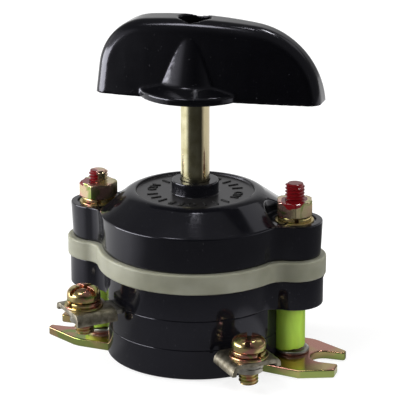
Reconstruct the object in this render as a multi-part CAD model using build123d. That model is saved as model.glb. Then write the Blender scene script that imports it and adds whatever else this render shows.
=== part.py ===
from build123d import *
import os
from math import radians, tan

# Two-pole packet switch with a snap-action cover, in millimetres, +Z up along the shaft.
# The origin is the middle of the base strap's underside. X runs through the two tie studs.

# Stack, from the bottom up
strap_thickness = 1.8
strap_proud = 0.2          # strap underside below the lower packet's underside
packet_height = 6.3
plate_height = 4.2
cover_height = 7.4
dome_height = 4.4

# Round bodies and their ears
packet_radius = 18.7
packet_ear_radius = 6.15
plate_radius = 20.5
plate_ear_radius = 6.65
plate_edge = 0.25
cover_radius = 19.5
cover_ear_radius = 5.5
cover_draft = 2.5
ear_blend = 4.0

# Dial on the cover
rim_radius = 13.6
rim_width = 1.35
dial_depth = 0.5
boss_radius = 4.9
boss_height = 2.7

# Tie studs and their hardware
stud_spacing = 42.6
stud_radius = 2.0
stud_top_left = 37.4
stud_top_right = 38.4
collar_radius = 3.5
collar_height = 0.8
sleeve_radius = 3.3
nut_width = 7.0
nut_height = 3.2
nut_crown = 0.3
nut_crown_width = 0.45
nut_turn_left = 27.0
nut_turn_right = 47.0
stud_washer_radius = 4.0
stud_washer_thickness = 0.5
spring_washer_radius = 3.5
spring_washer_thickness = 1.0
spring_washer_gap = 0.7
washer_seat_radius = 4.4
washer_seat_depth = 0.5
wrench_radius = 6.2

# Base strap
strap_half_width = 8.4
strap_neck = 6.0           # from the packet's rim in to where the feet begin to widen
foot_front = 10.6
foot_front_shoulder = 4.0  # widest point, outwards of the stud
foot_front_taper = 2.6
foot_rear = 7.4
foot_rear_shoulder = 3.1
fork_root_gap = 4.3        # stud axis to the bottom of the slot
fork_slot_depth = 6.6
fork_slot_width = 6.0
fork_slot_offset = 1.6
fork_tip_width = 1.5
fork_tip_round = 0.6
foot_rear_round = 6.0

# Terminals
terminal_radius = 25.7
strip_width = 6.0
strip_thickness = 1.0
strip_inner_radius = 7.6
strip_outer_radius = 28.6
strip_round = 2.6
thread_collar_radius = 2.9
thread_collar_height = 1.1
saddle_length = 9.0
saddle_width = 10.8
saddle_drop = 2.5          # the deep lip
saddle_lip = 1.7           # the shallow lip
saddle_thickness = 1.0
saddle_bend = 2.0          # outer radius of the deep lip's bend
saddle_lip_bend = 1.2
saddle_set_in = 0.7        # screw hole, outwards of the saddle's middle
terminal_washer_radius = 4.0
terminal_washer_thickness = 0.5
screw_radius = 2.0
screw_length = 7.4
screw_head_radius = 3.45
screw_head_height = 2.7
screw_head_chamfer = 0.9
screw_slot_width = 0.9
screw_slot_depth = 1.1

# Contact chambers, each split by a seam between two packets
chamber_radius = 13.0
chamber_above = 1.6
chamber_below = 2.4
leaf_thickness = 0.5
leaf_hub_radius = 6.6
leaf_arm_width = 6.4
leaf_reach = 11.4
disc_radius = 12.4
disc_thickness = 0.5
rivet_radius = 0.7
rivet_pitch_radius = 5.0

# Contact spindle
spindle_square = 7.0
spindle_journal_radius = 5.1
spindle_foot_radius = 2.8
spindle_flange_radius = 6.5
spindle_flange_height = 1.0
tenon_square = 5.0
tenon_height = 2.2

# Snap mechanism in the cover
cavity_radius = 15.8
cavity_wall_height = 5.7
cavity_roof_radius = 11.5
roof_thickness = 1.8
stop_thickness = 1.0
stop_width = 4.0
stop_height = 2.2
slide_length = 27.0
slide_width = 8.0
slide_thickness = 1.2
slide_travel = 1.0
driver_hub_radius = 5.2
driver_thickness = 1.8
lug_width = 7.6
lug_thickness = 1.2
lug_height = 3.0
driver_lug_reach = 8.4
slide_lug_reach = 10.4
spring_radius = 4.6
spring_wire = 1.2          # square section
spring_pitch = 1.3
spring_turns = 1.5
spring_leg_reach = 10.6

# Shaft and handle
shaft_radius = 3.0
shaft_flat = 2.2
shaft_pilot_radius = 1.5
shaft_pilot_length = 2.2
shaft_collar_radius = 3.9
shaft_collar_height = 0.6
handle_bottom = 55.7
handle_left = 19.8
handle_right = 26.9
handle_height = 15.8
handle_half_width = 6.65   # at its widest, along the underside
handle_widest_x = -7.8
handle_side_radius = 205.0  # bow of the two sides, towards the narrow nose
handle_draft = 0.149        # lean of the sides, per millimetre of height
handle_edge = 2.6
handle_shoulder_in = 0.45      # lean of the straight left end
handle_shoulder_rise = 5.7
left_round_reach = 10.0
left_round_drop = 0.45
right_round_reach = 14.1
right_round_drop = 0.75
flange_radius = 11.5
flange_rim = 1.45
flange_rise = 1.25
hub_radius = 7.95
hub_top_radius = 4.25
hub_height = 10.9
socket_depth = 8.8
socket_roof = 2.0
screw_well_radius = 3.3
handle_screw_radius = 1.5
handle_screw_length = 8.0
handle_screw_head_radius = 2.7
handle_screw_head_height = 2.0

# Clearances
running = 0.05             # radial, between turning and fixed parts
sliding = 0.1              # between flat faces that pass each other
assembly = 0.15            # round fixed parts that drop into place
thread_gap = 0.03          # radial, between mating threads drawn plain

# Heights worked out from the stack
stack_bottom = strap_thickness - (strap_thickness - strap_proud)
lower_seam = stack_bottom + packet_height
upper_seam = lower_seam + packet_height
plate_bottom = upper_seam + packet_height
cover_bottom = plate_bottom + plate_height
cover_edge = cover_bottom + cover_height
rim_top = cover_edge + dome_height
dial_face = rim_top - dial_depth
cavity_roof = dial_face - roof_thickness
washer_seat = cover_edge - washer_seat_depth
plate_bore_radius = spindle_journal_radius + running
fork_slot_root = stud_spacing / 2 + fork_root_gap
foot_length = fork_slot_root + fork_slot_depth
spindle_corner_radius = spindle_square * 0.5 * 2 ** 0.5

# Poles: the seam that carries each one, and the direction of its first terminal
poles = {"upper": (upper_seam, 45), "lower": (lower_seam, 135)}
terminals = {
    "rear_right": (upper_seam, 48),
    "front_left": (upper_seam, -135),
    "rear_left": (lower_seam, 135),
    "front_right": (lower_seam, -48),
}
saddle_turns = {"rear_right": -6}     # saddles that stand askew on their screws
stud_places = {"left": -stud_spacing / 2, "right": stud_spacing / 2}

STANDING = (Align.CENTER, Align.CENTER, Align.MIN)


def rod(radius, low, high, x=0.0):
    """Round solid between two heights."""
    return Pos(x, 0, low) * Cylinder(radius, high - low, align=STANDING)


def ring(radius, bore, low, high, x=0.0):
    """Round solid with a through bore."""
    return rod(radius, low, high, x) - rod(bore, low - 1, high + 1, x)


def block(length, width, low, high, x=0.0):
    """Rectangular solid between two heights."""
    return Pos(x, 0, low) * Box(length, width, high - low, align=STANDING)


def turned(points):
    """Solid of revolution about Z from a closed outline of (radius, height) points."""
    outline = Plane.XZ * make_face(Polyline(*points, close=True))
    return revolve(outline, Axis.Z)


def at_studs(radius, low, high):
    """A round solid at both tie studs, for cutting."""
    return [rod(radius, low, high, x) for x in stud_places.values()]


def eared_outline(radius, ear_radius, grow=0.0):
    """Round plan with an ear at each stud, blended by hollow fillets."""
    ears = [Pos(x, 0) * Circle(ear_radius + grow) for x in stud_places.values()]
    outline = Circle(radius + grow) + ears
    corners = [v for v in outline.vertices() if abs(v.Y) > 1]
    return fillet(corners, ear_blend - grow)


def split_washer(radius, bore, low, thickness, x=0.0, turn=0.0):
    """Spring lock washer with its gap, drawn flat."""
    gap = Pos(radius / 2 + bore / 2, 0, 0) * Rot(0, 25, 0) * Box(radius, spring_washer_gap, 4 * thickness)
    washer = Pos(0, 0, -thickness / 2) * Cylinder(radius, thickness, align=STANDING)
    washer -= Cylinder(bore, 4 * thickness)
    return Pos(x, 0, low + thickness / 2) * Rot(0, 0, turn) * (washer - gap)


# Cover, with the snap mechanism's chamber inside
def cover():
    grow = cover_height * tan(radians(cover_draft))
    edge_radius = cover_radius + grow
    foot = eared_outline(cover_radius, cover_ear_radius)
    head = Pos(0, 0, cover_height) * eared_outline(cover_radius, cover_ear_radius, grow)
    body = Pos(0, 0, cover_bottom) * loft([foot, head], ruled=True)
    body += turned([
        (edge_radius, cover_edge),
        (rim_radius, rim_top),
        (rim_radius - rim_width, rim_top),
        (rim_radius - rim_width, dial_face),
        (boss_radius, dial_face),
        (boss_radius, dial_face + boss_height),
        (0, dial_face + boss_height),
        (0, cover_edge),
    ])
    body -= turned([
        (0, cover_bottom),
        (cavity_radius, cover_bottom),
        (cavity_radius, cover_bottom + cavity_wall_height),
        (cavity_roof_radius, cavity_roof),
        (0, cavity_roof),
    ])
    body -= rod(shaft_radius + running, cavity_roof - 1, dial_face + boss_height + 1)
    body -= at_studs(wrench_radius, cover_edge, rim_top + 1)
    body -= at_studs(washer_seat_radius, washer_seat, cover_edge + 1)
    return body - at_studs(stud_radius + assembly, cover_bottom - 1, cover_edge)


# Pale index plate: bearing of the contact spindle and stops of the slide plate
def index_plate():
    slab = extrude(eared_outline(plate_radius, plate_ear_radius), plate_height)
    outer = slab.faces().sort_by(Axis.Z)
    slab = chamfer([*outer[0].edges(), *outer[-1].edges()], plate_edge)
    body = Pos(0, 0, plate_bottom) * slab
    body -= rod(plate_bore_radius, plate_bottom - 1, cover_bottom + 1)
    body -= at_studs(stud_radius + assembly, plate_bottom - 1, cover_bottom + 1)
    stop_x = cavity_radius - 3 * sliding - stop_thickness / 2
    stop = block(stop_thickness, stop_width, cover_bottom - 0.5, cover_bottom + stop_height, stop_x)
    return body + [Rot(0, 0, 45 + 90 * k) * stop for k in range(4)]


# Packets: round insulating blocks that close the contact chambers between them
def strip_channels(seam):
    """Channels in a packet's top face that hold the two strips of one pole."""
    length = packet_radius - strip_inner_radius
    channel = block(length, strip_width + 2 * assembly, seam - strip_thickness, seam + 1,
                    strip_inner_radius + length / 2)
    return [Rot(0, 0, turn) * channel for level, turn in terminals.values() if level == seam]


def sleeve_flutes():
    return at_studs(max(sleeve_radius, collar_radius) + assembly, stack_bottom - 1, upper_seam)


def upper_packet():
    outline = eared_outline(packet_radius, packet_ear_radius)
    body = Pos(0, 0, upper_seam) * extrude(outline, packet_height)
    body -= rod(chamber_radius, upper_seam - 1, upper_seam + chamber_above)
    body -= rod(spindle_corner_radius + 3 * sliding, upper_seam, plate_bottom + 1)
    body -= at_studs(stud_radius + assembly, upper_seam - 1, plate_bottom + 1)
    return body


def middle_packet():
    body = rod(packet_radius, lower_seam, upper_seam)
    body -= rod(chamber_radius, lower_seam - 1, lower_seam + chamber_above)
    body -= rod(chamber_radius, upper_seam - chamber_below, upper_seam + 1)
    body -= rod(spindle_corner_radius + 3 * sliding, lower_seam, upper_seam)
    return body - strip_channels(upper_seam) - sleeve_flutes()


def lower_packet():
    body = rod(packet_radius, stack_bottom, lower_seam)
    body -= rod(chamber_radius, lower_seam - chamber_below, lower_seam + 1)
    body -= rod(spindle_foot_radius + running, stack_bottom - 1, lower_seam)
    groove = extrude(offset(strap_outline(), assembly), strap_thickness)
    return body - strip_channels(lower_seam) - sleeve_flutes() - groove


# Base strap with a forked foot at each end, the same shape turned half round
def strap_outline():
    neck = packet_radius - strap_neck
    stud_x = stud_spacing / 2
    slot_rear = fork_slot_width / 2 - fork_slot_offset
    foot = [
        (neck, -strap_half_width),
        (stud_x + foot_front_shoulder, -foot_front),
        (foot_length, -foot_front + foot_front_taper),
        (foot_length, slot_rear + fork_tip_width),
        (stud_x + foot_rear_shoulder, foot_rear),
        (neck, strap_half_width),
    ]
    other = [(-x, -y) for x, y in foot]
    return make_face(Polyline(*foot, *other, close=True))


def fork_slot():
    """Slot with a round root, open at the foot's end."""
    radius = fork_slot_width / 2
    throat = fork_slot_depth
    slot = Pos(fork_slot_root + radius, -fork_slot_offset) * Circle(radius)
    return slot + Pos(fork_slot_root + radius + throat / 2, -fork_slot_offset) * Rectangle(
        throat, fork_slot_width)


def base_strap():
    outline = strap_outline() - [Rot(0, 0, turn) * fork_slot() for turn in (0, 180)]
    tips = [v for v in outline.vertices() if abs(v.X) > foot_length - fork_tip_round]
    outline = fillet(tips, fork_tip_round)
    shoulder = stud_spacing / 2 + foot_rear_shoulder
    bows = [v for v in outline.vertices() if abs(abs(v.X) - shoulder) < 0.01 and abs(v.Y) < foot_front - 1]
    outline = fillet(bows, foot_rear_round)
    body = extrude(outline, strap_thickness)
    return body - at_studs(stud_radius + thread_gap, -1, strap_thickness + 1)


# Tie studs, riveted into the strap, with their sleeves and nuts
def stud(side):
    top = {"left": stud_top_left, "right": stud_top_right}[side]
    body = rod(stud_radius, strap_proud / 2, top, stud_places[side])
    body = chamfer(body.edges().sort_by(Axis.Z)[-1], 0.4)
    collar = ring(collar_radius, stud_radius, strap_thickness, strap_thickness + collar_height,
                  stud_places[side])
    return body + collar


def sleeve(side):
    return ring(sleeve_radius, stud_radius + assembly, strap_thickness + collar_height,
                upper_seam, stud_places[side])


def stud_flat_washers():
    return [ring(stud_washer_radius, stud_radius + assembly, washer_seat,
                 washer_seat + stud_washer_thickness, x) for x in stud_places.values()]


def stud_spring_washers():
    low = washer_seat + stud_washer_thickness
    return [split_washer(spring_washer_radius, stud_radius + assembly, low,
                         spring_washer_thickness, x, -120) for x in stud_places.values()]


def stud_nuts():
    low = washer_seat + stud_washer_thickness + spring_washer_thickness
    turns = {"left": nut_turn_left, "right": nut_turn_right}
    nuts = []
    for side, x in stud_places.items():
        hexagon = RegularPolygon(nut_width / 2, 6, major_radius=False)
        corner = nut_width / 3 ** 0.5
        rim = corner - nut_crown_width
        crown = turned([(0, 0), (rim, 0), (corner, nut_crown), (corner, nut_height - nut_crown),
                        (rim, nut_height), (0, nut_height)])
        nut = extrude(hexagon, nut_height) & crown
        nut -= Cylinder(stud_radius + thread_gap, 4 * nut_height)
        nuts.append(Pos(x, 0, low) * Rot(0, 0, turns[side]) * nut)
    return nuts


# Terminals: strip, saddle and screw, drawn along +X and turned into place
def at_terminal(name, piece):
    seam, turn = terminals[name]
    return Rot(0, 0, turn) * Pos(0, 0, seam) * piece


def contact_strip(name):
    length = strip_outer_radius - strip_inner_radius
    strip = block(length, strip_width, -strip_thickness, 0, strip_inner_radius + length / 2)
    outer_edges = strip.edges().filter_by(Axis.Z).group_by(Axis.X)[-1]
    strip = fillet(outer_edges, strip_round)
    strip += rod(thread_collar_radius, -strip_thickness - thread_collar_height, -strip_thickness,
                 terminal_radius)
    strip -= rod(screw_radius + thread_gap, -4, 1, terminal_radius)
    return at_terminal(name, strip)


def saddle(name):
    """Bent plate with a deep lip on one side and a shallow one on the other."""
    side = 1 if terminals[name][0] == upper_seam else -1     # where the deep lip is
    wide, thick = saddle_width / 2, saddle_thickness
    outer = make_face(Polyline(
        (-side * wide, thick - saddle_lip), (-side * wide, thick),
        (side * wide, thick), (side * wide, thick - saddle_drop), close=True))
    inner = Pos(0, -saddle_drop / 2) * Rectangle(saddle_width - 2 * thick, saddle_drop)
    for across, bend in ((side, saddle_bend), (-side, saddle_lip_bend)):
        outer = fillet(outer.vertices().sort_by_distance((across * wide, thick))[0], bend)
        inner = fillet(inner.vertices().sort_by_distance((across * (wide - thick), 0))[0], bend - thick)
    body = extrude(Plane.YZ * (outer - inner), saddle_length / 2, both=True)
    body = Pos(-saddle_set_in, 0, 0) * body - rod(screw_radius + assembly, -saddle_drop, saddle_drop)
    return at_terminal(name, Pos(terminal_radius, 0, 0) * Rot(0, 0, saddle_turns.get(name, 0)) * body)


def terminal_flat_washers():
    washer = ring(terminal_washer_radius, screw_radius + assembly, saddle_thickness,
                  saddle_thickness + terminal_washer_thickness, terminal_radius)
    return [at_terminal(name, washer) for name in terminals]


def terminal_spring_washers():
    low = saddle_thickness + terminal_washer_thickness
    washer = split_washer(spring_washer_radius, screw_radius + assembly, low,
                          spring_washer_thickness, terminal_radius, 20)
    return [at_terminal(name, washer) for name in terminals]


def terminal_screws():
    seat = saddle_thickness + terminal_washer_thickness + spring_washer_thickness
    head = rod(screw_head_radius, 0, screw_head_height)
    head = chamfer(head.edges().sort_by(Axis.Z)[-1], screw_head_chamfer)
    slot_low, slot_high = screw_head_height - screw_slot_depth, 2 * screw_head_height
    head -= block(3 * screw_head_radius, screw_slot_width, slot_low, slot_high)
    head -= block(screw_slot_width, screw_head_radius, slot_low, slot_high)
    shank = rod(screw_radius, -screw_length, 0)
    shank = chamfer(shank.edges().sort_by(Axis.Z)[0], 0.4)
    screw = Pos(terminal_radius, 0, seat) * Rot(0, 0, 60) * (head + shank)
    return [at_terminal(name, screw) for name in terminals]


# Moving contacts: two spring leaves grip the blades, between two arc discs
leaf_low = strip_thickness / 2 + sliding
disc_low = leaf_low + leaf_thickness + running


def on_pole(pole, piece):
    """Places a piece drawn round the middle of the strip's thickness."""
    seam, turn = poles[pole]
    return Rot(0, 0, turn) * Pos(0, 0, seam - strip_thickness / 2) * piece


def rivet_places():
    return [Rot(0, 0, 90 + turn) * Pos(rivet_pitch_radius, 0, 0) for turn in (0, 180)]


def spindle_holes(piece):
    """Cuts the square hole and the two rivet holes through a piece of the contact stack."""
    square = spindle_square + 2 * running
    through = 2 * packet_height
    piece -= Box(square, square, through)
    return piece - [place * Cylinder(rivet_radius + running, through) for place in rivet_places()]


def contact_leaf(pole, side):
    low, high = sorted((side * leaf_low, side * (leaf_low + leaf_thickness)))
    leaf = rod(leaf_hub_radius, low, high) + block(2 * leaf_reach, leaf_arm_width, low, high)
    return on_pole(pole, spindle_holes(leaf))


def arc_disc(pole, side):
    low, high = sorted((side * disc_low, side * (disc_low + disc_thickness)))
    return on_pole(pole, spindle_holes(rod(disc_radius, low, high)))


def contact_spacer(pole):
    return on_pole(pole, spindle_holes(rod(leaf_hub_radius, -leaf_low, leaf_low)))


def contact_rivets():
    reach = disc_low + disc_thickness
    rivet = rod(rivet_radius, -reach, reach)
    return [on_pole(pole, place * rivet) for pole in poles for place in rivet_places()]


# Insulating spindle that carries the moving contacts
flange_low = cover_bottom + sliding
tenon_low = flange_low + spindle_flange_height
tenon_top = tenon_low + tenon_height


def contact_spindle():
    foot_top = lower_seam - chamber_below + sliding
    body = rod(spindle_foot_radius, strap_thickness + assembly, foot_top)
    body += Rot(0, 0, 45) * block(spindle_square, spindle_square, foot_top, plate_bottom)
    body += rod(spindle_journal_radius, plate_bottom, flange_low)
    body += rod(spindle_flange_radius, flange_low, tenon_low)
    body += block(tenon_square, tenon_square, tenon_low, tenon_top)
    return body - rod(shaft_pilot_radius + running, tenon_top - shaft_pilot_length, tenon_top + 1)


# Slide plate: rides on the tenon and drops between the stops
slide_low = tenon_low + sliding
driver_low = tenon_top + 3 * sliding


def slide_plate():
    body = block(slide_length, slide_width, slide_low, slide_low + slide_thickness)
    body = fillet(body.edges().filter_by(Axis.Z), slide_width / 6)
    slot = tenon_square + 2 * running
    body -= block(slot + 2 * slide_travel, slot, slide_low - 1, driver_low)
    lug_top = driver_low + driver_thickness + lug_height
    return body + block(lug_thickness, lug_width, slide_low, lug_top, slide_lug_reach - lug_thickness / 2)


# Driver on the shaft, whose lug winds the spring
def driver():
    top = driver_low + driver_thickness
    arm = block(driver_lug_reach, lug_width, driver_low, top, driver_lug_reach / 2)
    lug = block(lug_thickness, lug_width, driver_low, top + lug_height,
                driver_lug_reach - lug_thickness / 2)
    body = rod(driver_hub_radius, driver_low, top) + arm + lug
    bore = rod(shaft_radius + running, driver_low - 1, top + 1)
    return body - (bore & block(20, 2 * (shaft_flat + running), driver_low - 1, top + 1))


def torsion_spring():
    """Coil round the shaft whose two legs lie on either side of both lugs."""
    low = driver_low + driver_thickness + spring_wire / 2 + running
    rise = spring_turns * spring_pitch
    coil = Rot(0, 0, -90) * Helix(spring_pitch, rise, spring_radius, lefthand=True)
    reach = Vector(spring_leg_reach, 0, 0)
    first_leg = Line(coil @ 0 + reach, coil @ 0)
    last_leg = Line(coil @ 1, coil @ 1 + reach)
    section = Plane(origin=first_leg @ 0, z_dir=first_leg % 0) * Rectangle(spring_wire, spring_wire)
    return Pos(0, 0, low) * sweep(section, Wire([first_leg, *coil.edges(), last_leg]))


# Shaft, from the pilot in the spindle to the handle's socket
shaft_top = handle_bottom + socket_depth - assembly
tapped_depth = handle_screw_length


def shaft():
    driver_top = driver_low + driver_thickness
    body = rod(shaft_radius, driver_low, shaft_top)
    body += rod(shaft_pilot_radius, tenon_top - shaft_pilot_length + sliding, driver_low)
    body += rod(shaft_collar_radius, cavity_roof - sliding - shaft_collar_height, cavity_roof - sliding)
    for side in (-1, 1):
        flat = block(20, 4, driver_low - 0.01, driver_top)
        body -= Pos(0, side * (shaft_flat + 2), 0) * flat
    body -= Pos(0, shaft_flat + 2, 0) * block(20, 4, handle_bottom + 1, shaft_top + 1)
    return body - rod(handle_screw_radius + thread_gap, shaft_top - tapped_depth, shaft_top + 1)


# Handle: a bar with rounded edges on a coned hub and flange
def handle_profile():
    bottom_left = (-handle_left, handle_bottom)
    top = handle_bottom + handle_height
    shoulder = (-handle_left + handle_shoulder_in, handle_bottom + handle_shoulder_rise)
    top_left = (-handle_left + left_round_reach, top - left_round_drop)
    top_right = (handle_right - right_round_reach, top - right_round_drop)
    bottom_right = (handle_right, handle_bottom)
    left = Line(bottom_left, shoulder)
    left_round = TangentArc(shoulder, top_left, tangent=left % 1)
    crest = TangentArc(top_left, top_right, tangent=left_round % 1)
    right_round = TangentArc(top_right, bottom_right, tangent=crest % 1)
    return Plane.XZ * make_face([left, left_round, crest, right_round, Line(bottom_right, bottom_left)])


def handle_bar():
    """Side view of the handle, cut to its bowed and leaning sides, with rounded edges."""
    bar = extrude(handle_profile(), handle_half_width, both=True)
    reach = handle_height + 1
    side = Cone(handle_side_radius, handle_side_radius - handle_draft * reach, reach)
    for facing in (-1, 1):
        bow = facing * (handle_half_width - handle_side_radius)
        bar &= Pos(handle_widest_x, bow, handle_bottom + reach / 2) * side
    sides = bar.faces().filter_by(GeomType.CONE)
    underside = bar.faces().sort_by(Axis.Z)[0]
    outer = [e for face in sides for e in face.edges()]
    return fillet([e for e in outer if e not in underside.edges()], handle_edge)


def handle():
    bar = handle_bar()
    hub_low = handle_bottom + flange_rim + flange_rise
    bar += turned([
        (0, handle_bottom),
        (flange_radius, handle_bottom),
        (flange_radius, handle_bottom + flange_rim),
        (hub_radius, hub_low),
        (hub_top_radius, hub_low + hub_height),
        (0, hub_low + hub_height),
    ])
    socket = rod(shaft_radius + running, handle_bottom - 1, handle_bottom + socket_depth)
    key = Pos(0, shaft_flat + running + 2, 0) * block(20, 4, handle_bottom + 1 + assembly, 90)
    seat = handle_bottom + socket_depth + socket_roof
    bar -= socket - key
    bar -= rod(handle_screw_radius + assembly, handle_bottom, seat)
    return bar - rod(screw_well_radius, seat, seat + handle_height)


def handle_screw():
    seat = handle_bottom + socket_depth + socket_roof
    head = rod(handle_screw_head_radius, seat, seat + handle_screw_head_height)
    slot_low = seat + handle_screw_head_height - 0.8
    head -= block(3 * handle_screw_head_radius, 0.7, slot_low, slot_low + 2)
    return head + rod(handle_screw_radius, seat - handle_screw_length, seat)


pieces = {
    "handle": handle(),
    "handle_screw": handle_screw(),
    "shaft": shaft(),
    "driver": driver(),
    "torsion_spring": torsion_spring(),
    "slide_plate": slide_plate(),
    "contact_spindle": contact_spindle(),
    "cover": cover(),
    "index_plate": index_plate(),
    "upper_packet": upper_packet(),
    "middle_packet": middle_packet(),
    "lower_packet": lower_packet(),
    "base_strap": base_strap(),
}
for side in stud_places:
    pieces[f"stud_{side}"] = stud(side)
    pieces[f"sleeve_{side}"] = sleeve(side)
for name in terminals:
    pieces[f"contact_strip_{name}"] = contact_strip(name)
    pieces[f"saddle_{name}"] = saddle(name)
for pole in poles:
    pieces[f"contact_spacer_{pole}"] = contact_spacer(pole)
    for level, side in (("top", 1), ("bottom", -1)):
        pieces[f"contact_leaf_{pole}_{level}"] = contact_leaf(pole, side)
        pieces[f"arc_disc_{pole}_{level}"] = arc_disc(pole, side)
fasteners = {
    "stud_flat_washers": stud_flat_washers(),
    "stud_spring_washers": stud_spring_washers(),
    "stud_nuts": stud_nuts(),
    "terminal_flat_washers": terminal_flat_washers(),
    "terminal_spring_washers": terminal_spring_washers(),
    "terminal_screws": terminal_screws(),
    "contact_rivets": contact_rivets(),
}
for name, group in fasteners.items():
    pieces[name] = Compound(children=group)

os.makedirs("parts", exist_ok=True)
for name, piece in pieces.items():
    export_step(piece, f"parts/{name}.step")
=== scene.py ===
# %% [markdown]
# # A rotary packet switch, dressed in Blender
# The object is a small power switch: black moulded packets stacked on a steel strap, held by two
# tie studs, with a pale ring between them and a winged handle on a steel shaft. The solids come
# packed from the CAD source, and this lesson gives each one its rounded edges, threads and finish.
# Sizes are written in millimetres, as on a drawing, and turned to metres where they are used.

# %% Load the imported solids
from math import atan2, cos, hypot, pi, radians, sin

import bpy
from mathutils import Matrix, Vector


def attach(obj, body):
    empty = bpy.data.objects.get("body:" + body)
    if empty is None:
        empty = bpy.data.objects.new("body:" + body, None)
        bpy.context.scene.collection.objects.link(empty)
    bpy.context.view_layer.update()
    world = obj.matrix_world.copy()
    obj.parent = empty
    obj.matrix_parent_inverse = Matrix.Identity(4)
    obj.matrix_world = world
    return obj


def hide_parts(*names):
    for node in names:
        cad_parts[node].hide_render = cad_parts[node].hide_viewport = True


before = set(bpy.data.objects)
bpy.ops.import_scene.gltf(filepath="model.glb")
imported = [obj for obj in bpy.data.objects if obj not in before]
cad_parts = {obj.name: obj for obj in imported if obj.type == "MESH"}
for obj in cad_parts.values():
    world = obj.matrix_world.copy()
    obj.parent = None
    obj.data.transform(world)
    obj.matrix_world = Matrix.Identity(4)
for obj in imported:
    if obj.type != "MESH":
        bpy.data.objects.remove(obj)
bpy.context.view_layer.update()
MM = 0.001

# %% [markdown]
# ## Helpers for finishes
# A finish could be one flat colour, but then plastic, plating and steel would look alike. Here each
# is a small tree of nodes, so that colour, gloss and grain vary as on the real surface. Colours are
# written as on a screen and turned to linear light once. One function adds any node with its
# settings and links, so every tree reads the same way. A Mix node has sockets for several kinds of
# value under the same names, so those are named here by their numbers.

# %% Finish helpers
FACTOR, VALUE_A, VALUE_B, COLOUR_A, COLOUR_B = 0, 2, 3, 6, 7
VALUE, COLOUR = 0, 2


def linear(colour):
    """Turns an sRGB hex colour to linear RGBA."""
    parts = [int(colour[i:i + 2], 16) / 255 for i in (1, 3, 5)]
    return [c / 12.92 if c <= 0.04045 else ((c + 0.055) / 1.055) ** 2.4 for c in parts] + [1.0]


def add(tree, kind, inputs=None, **settings):
    """Adds a node: settings are its own, inputs are values or the outputs to link."""
    node = tree.nodes.new("ShaderNode" + kind)
    for name, value in settings.items():
        setattr(node, name, value)
    for socket, value in (inputs or {}).items():
        if isinstance(value, bpy.types.NodeSocket):
            tree.links.new(value, node.inputs[socket])
        else:
            node.inputs[socket].default_value = value
    return node


def finish(name, **sockets):
    """A new material with plain values on its shader: returns it, its tree, shader and place."""
    material = bpy.data.materials.new(name)
    material.use_nodes = True
    tree = material.node_tree
    shader = tree.nodes["Principled BSDF"]
    for socket, value in sockets.items():
        shader.inputs[socket.replace("_", " ")].default_value = value
    place = add(tree, "TexCoord").outputs["Object"]
    print("Finish:", name)
    return material, tree, shader, place


def dress(tree, shader, colour, rough, bump):
    """Links the colour, roughness and bump of a tree to its shader."""
    tree.links.new(colour, shader.inputs["Base Color"])
    tree.links.new(rough, shader.inputs["Roughness"])
    tree.links.new(bump.outputs[0], shader.inputs["Normal"])


def per(size):
    """Texture scale for a pattern of this size in millimetres."""
    return 1 / (size * MM)


print("Texture scale for a pattern of 1 mm:", per(1))

# %% [markdown]
# ## Black phenolic
# The handle, cover and packets are compression-moulded phenolic, nearly black with a cold cast. It
# is glossy where the tool was polished, and a little cloudy from flow and handling. A flat black
# would show nothing but highlights, so a slow noise varies colour and gloss, and a finer one gives a
# slight orange peel. Dust is finer in truth, and is drawn coarse enough to show. The tool left the
# dial face satin, so a mask round the axis makes it rougher and greyer.

# %% Black phenolic
cloud_size, peel_size, dust_size = 7, 1.6, 0.45
satin = 0.3


def phenolic(name, dark, light, rough, ring=None):
    """Moulded phenolic between two colours and two values of roughness.

    A ring (middle radius, half width, lowest height) round the axis is satin."""
    black, tree, shader, place = finish(name, Specular_Tint=linear("#f1f0ff"))
    cloud = add(tree, "TexNoise", {"Vector": place, "Scale": per(cloud_size),
                                   "Detail": 3.0}).outputs["Fac"]
    peel = add(tree, "TexNoise", {"Vector": place, "Scale": per(peel_size), "Detail": 2.0})
    dust = add(tree, "TexNoise", {"Vector": place, "Scale": per(dust_size), "Detail": 1.0})
    colour = add(tree, "Mix", {FACTOR: cloud, COLOUR_A: linear(dark), COLOUR_B: linear(light)},
                 data_type="RGBA").outputs[COLOUR]
    specks = add(tree, "MapRange", {"Value": dust.outputs["Fac"], "From Min": 0.74, "From Max": 0.8,
                                    "To Max": 0.35}).outputs[0]
    colour = add(tree, "Mix", {FACTOR: specks, COLOUR_A: colour, COLOUR_B: linear("#5a5a5e")},
                 data_type="RGBA").outputs[COLOUR]
    gloss = add(tree, "MapRange", {"Value": cloud, "From Min": 0.3, "From Max": 0.7,
                                   "To Min": rough[0], "To Max": rough[1]}).outputs[0]
    if ring:
        middle, half_width, lowest = ring
        flat = add(tree, "VectorMath", {0: place, 1: (1, 1, 0)}, operation="MULTIPLY").outputs[0]
        radius = add(tree, "VectorMath", {0: flat}, operation="LENGTH").outputs["Value"]
        inside = add(tree, "Math", {0: radius, 1: middle * MM, 2: half_width * MM},
                     operation="COMPARE").outputs[0]
        height = add(tree, "SeparateXYZ", {0: place}).outputs["Z"]
        above = add(tree, "Math", {0: height, 1: lowest * MM}, operation="GREATER_THAN").outputs[0]
        mask = add(tree, "Math", {0: inside, 1: above}, operation="MULTIPLY").outputs[0]
        colour = add(tree, "Mix", {FACTOR: mask, COLOUR_A: colour, COLOUR_B: linear("#1f1e1e")},
                     data_type="RGBA").outputs[COLOUR]
        gloss = add(tree, "Mix", {FACTOR: mask, VALUE_A: gloss, VALUE_B: satin}).outputs[VALUE]
    bump = add(tree, "Bump", {"Height": peel.outputs["Fac"], "Strength": 0.05, "Distance": 0.05 * MM})
    dress(tree, shader, colour, gloss, bump)
    return black


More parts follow.
